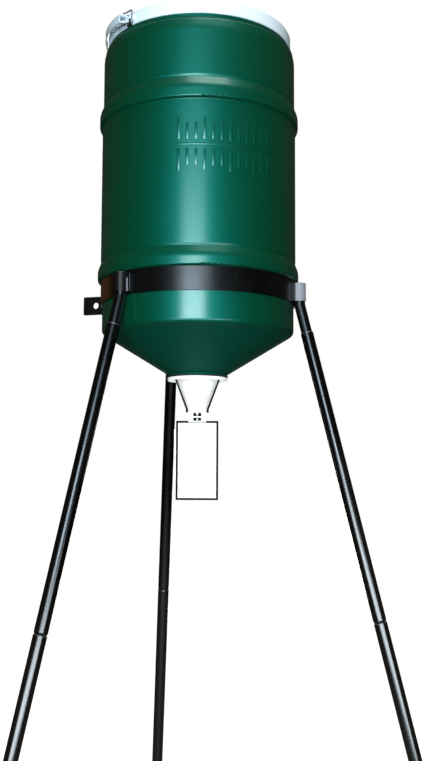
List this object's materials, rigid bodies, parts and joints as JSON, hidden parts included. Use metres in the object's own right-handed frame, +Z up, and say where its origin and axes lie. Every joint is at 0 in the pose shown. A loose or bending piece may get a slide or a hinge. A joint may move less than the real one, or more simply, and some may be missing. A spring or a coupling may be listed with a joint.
{
  "type": "game feeder",
  "caption": "Tripod game feeder: a barrel with a coned base and a lock-ring lid, held in a band on splayed tube legs, over a funnel, spinner plate and control box.",
  "frame": {"origin": "on the ground, at the centre of the circle of stake holes, under the barrel's axis", "axes": "+Z is up along the barrel's axis, -Y is the front, where the control box's door is, and +X is to the right seen from the front"},
  "size_m": [1.4537, 1.3924, 2.7984],
  "materials": {
    "green_barrel": "dark green blow-moulded plastic, semi-gloss",
    "lid_plastic": "black plastic",
    "black_gasket": "soft black rubber",
    "zinc_ring": "zinc-plated steel, pale blue sheen",
    "zinc_wire": "zinc-plated wire",
    "band_paint": "satin black paint",
    "cap_plastic": "grey plastic plug",
    "leg_paint": "gloss black paint",
    "white_sheet": "white powder coat",
    "black_trim": "black trim",
    "zinc_screws": "zinc-plated steel",
    "motor_can": "plated steel can",
    "battery_case": "dark grey plastic case",
    "timer_case": "grey plastic case",
    "brass_strip": "bright brass strip"
  },
  "bodies": {
    "stand": {"accessory_tab": "band_paint", "barrel": "green_barrel", "battery": "battery_case", "battery_contacts": "brass_strip", "control_box": "white_sheet", "door_seal": "black_gasket", "flange_screws": "zinc_screws", "foot_left": "leg_paint", "foot_rear": "leg_paint", "foot_right": "leg_paint", "funnel": "white_sheet", "funnel_seam_trim": "black_trim", "gear_motor": "motor_can", "hanger_straps": "white_sheet", "hinge_box_leaf": "white_sheet", "hinge_pin": "zinc_screws", "left_leg_lower": "leg_paint", "left_leg_middle": "leg_paint", "left_leg_upper": "leg_paint", "leg_stub_left": "band_paint", "leg_stub_rear": "band_paint", "leg_stub_right": "band_paint", "motor_screws": "zinc_screws", "outlet_seal": "black_gasket", "rear_leg_lower": "leg_paint", "rear_leg_middle": "leg_paint", "rear_leg_upper": "leg_paint", "right_leg_lower": "leg_paint", "right_leg_middle": "leg_paint", "right_leg_upper": "leg_paint", "shaft_seal": "black_gasket", "strap_rivets": "zinc_screws", "stub_caps": "cap_plastic", "stub_saddle_left": "band_paint", "stub_saddle_rear": "band_paint", "stub_saddle_right": "band_paint", "support_band": "band_paint", "timer_module": "timer_case"},
    "lid": {"lid": "lid_plastic", "lid_gasket": "black_gasket", "lock_ring": "zinc_ring", "ring_bracket": "zinc_ring", "latch_pivot_pin": "zinc_wire", "ring_hook": "zinc_ring"},
    "lever": {"latch_lever": "zinc_ring"},
    "bail": {"latch_bail": "zinc_wire"},
    "spinner": {"spinner_plate": "white_sheet", "spinner_hub": "black_trim", "hub_cap": "black_trim", "set_screws": "zinc_screws", "motor_shaft": "zinc_screws"},
    "door": {"door": "white_sheet", "door_trim": "black_trim"},
    "lock": {"door_lock": "zinc_screws"}
  },
  "joints": [
    {"name": "lid_lift", "type": "slide", "parent": "stand", "child": "lid", "axis": [0, 0, 1], "range_m": [0, 0.12]},
    {"name": "lever_swing", "type": "hinge", "parent": "lid", "child": "lever", "pos_m": [-0.18389, -0.15716, 2.78239], "axis": [0, 0, 1], "range_deg": [0, 110]},
    {"name": "bail_swing", "type": "hinge", "parent": "lever", "child": "bail", "pos_m": [-0.19761, -0.14125, 2.78239], "axis": [0, 0, 1], "range_deg": [-110, 0]},
    {"name": "spinner_spin", "type": "hinge", "parent": "stand", "child": "spinner", "pos_m": [0, 0, 1.83889], "axis": [0, 0, 1], "continuous": true},
    {"name": "door_swing", "type": "hinge", "parent": "stand", "child": "door", "pos_m": [-0.0535, -0.0546, 1.73239], "axis": [0, 0, -1], "range_deg": [0, 115]},
    {"name": "lock_turn", "type": "hinge", "parent": "door", "child": "lock", "pos_m": [0.0355, -0.0546, 1.73239], "axis": [0, 1, 0], "range_deg": [0, 90]}
  ],
  "couplings": [
    {"joint": "bail_swing", "follows": "lever_swing", "ratio": -1}
  ]
}
